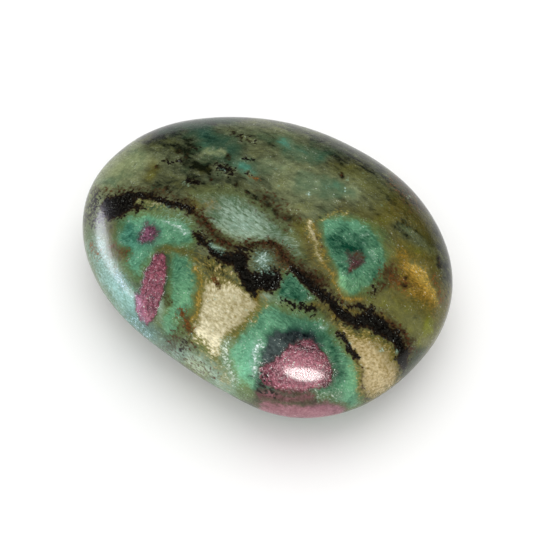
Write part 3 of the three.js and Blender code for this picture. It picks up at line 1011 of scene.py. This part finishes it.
# painted glints: pale specks mixed into the base colour, not reflections of a lamp
glint = centred(tree, grain["Glint"], polish["glintEdge"], polish["glintFrom"], 0.0, clamp=True)
clusters = calc(tree, "ADD", blend(polish["glintClusters"]), polish["glintGap"], clamp=True)
lit = calc(tree, "MULTIPLY", sparkle, times(tree, lightField, polish["glintLight"], 1.0))
paintedGlints = calc(tree, "MULTIPLY", calc(tree, "MULTIPLY", glint, clusters), lit, clamp=True)
colour = mixColour(tree, paintedGlints, colour, linear(polish["paintedGlintColour"]))

smoothest, roughest = polish["roughness"]
rough = times(tree, grain["Fine"], roughest - smoothest, smoothest)
rubyHeight = calc(tree, "MULTIPLY", masks["ruby"], blend(polish["rubyRelief"]))
height = calc(tree, "ADD", blend(polish["relief"]), rubyHeight)
bump = node(tree, "Bump", {"Height": height, **polish["bump"]})
shader = node(tree, "BsdfPrincipled", {
    "Base Color": colour, "Roughness": rough, "Normal": bump.outputs[0], **polish["gloss"]})
node(tree, "OutputMaterial", {"Surface": shader.outputs[0]})
stoneData.materials.append(material)
print("stone material made")

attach(stone, "root")
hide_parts("tumbled_stone")

# Studio: a pale floor, a dim room, and soft lights placed by the gloss that they leave on the stone
studio = {
    "floorColour": (248, 248, 248),
    "floorRoughness": 0.9,
    "floorHalf": 3.0,  # metres from its middle to a side
    "roomColour": (210, 210, 210),
    "roomStrength": 1.42,
}
softLights = {  # millimetres and watts, with the gloss between two pixels of the photograph
    "frontGloss": dict(
        gloss=[(292, 373), (313, 376)], away=260, width=84, spare=50, power=2.5, colour=(1.0, 0.97, 0.94)),
    "leftStrip": dict(
        gloss=[(101, 214), (137, 302)], away=220, width=72, spare=30, power=0.85, colour=(0.86, 0.85, 1.0)),
    "lowGloss": dict(
        gloss=[(108, 284), (195, 364)], away=240, width=100, spare=60, power=1.05, colour=(0.82, 0.85, 1.0)),
    "overhead": dict(
        middle=(-60, 120, 330), width=420, length=420, power=0.5, colour=(1.0, 0.99, 0.96)),
}

half = studio["floorHalf"]
floorData = bpy.data.meshes.new("floor")
corners = [(-half, -half, 0), (half, -half, 0), (half, half, 0), (-half, half, 0)]
floorData.from_pydata(corners, [], [(0, 1, 2, 3)])
floor = bpy.data.objects.new("floor", floorData)
bpy.context.scene.collection.objects.link(floor)
paper = bpy.data.materials.new("palePaper")
paper.use_nodes = True
paperShader = paper.node_tree.nodes["Principled BSDF"]
paperShader.inputs["Base Color"].default_value = linear(studio["floorColour"])
paperShader.inputs["Roughness"].default_value = studio["floorRoughness"]
floorData.materials.append(paper)

world = bpy.data.worlds.new("room")
world.use_nodes = True
background = world.node_tree.nodes["Background"]
background.inputs["Color"].default_value = linear(studio["roomColour"])
background.inputs["Strength"].default_value = studio["roomStrength"]
world.cycles_visibility.glossy = False  # the polish shows only the lamps and the floor
bpy.context.scene.world = world


def mirrored(pixel, away):  # where the polish at a pixel mirrors the camera's line of sight to
    spot, face = surfaceAt(pixel)
    look = (eye - spot) / np.linalg.norm(eye - spot)
    return spot, spot + (2 * (look @ face) * face - look) * away


for name, lamp in softLights.items():
    if "gloss" in lamp:
        (_, start), (spot, end) = (mirrored(pixel, lamp["away"]) for pixel in lamp["gloss"])
        place, run = (start + end) / 2, end - start
        length = float(np.linalg.norm(run)) + lamp["spare"]
        facing = place - spot
    else:
        place, run, length = np.array(lamp["middle"], float), np.array([1.0, 0, 0]), float(lamp["length"])
        facing = place
    facing = facing / np.linalg.norm(facing)
    longAxis = run - (run @ facing) * facing
    longAxis /= np.linalg.norm(longAxis)
    data = bpy.data.lights.new(name, "AREA")
    data.shape, data.size, data.size_y = "ELLIPSE", lamp["width"] * mm, length * mm
    data.energy, data.color = lamp["power"], lamp["colour"]
    made = bpy.data.objects.new(name, data)
    made.matrix_world = poseOf(np.cross(longAxis, facing), longAxis, facing, place)
    made.visible_glossy = "gloss" in lamp
    made.visible_diffuse = "gloss" not in lamp
    bpy.context.scene.collection.objects.link(made)
    print(name, "at", place.round().tolist(), "length", round(length))

bpy.context.scene.view_settings.view_transform = "Standard"
print("lights set")
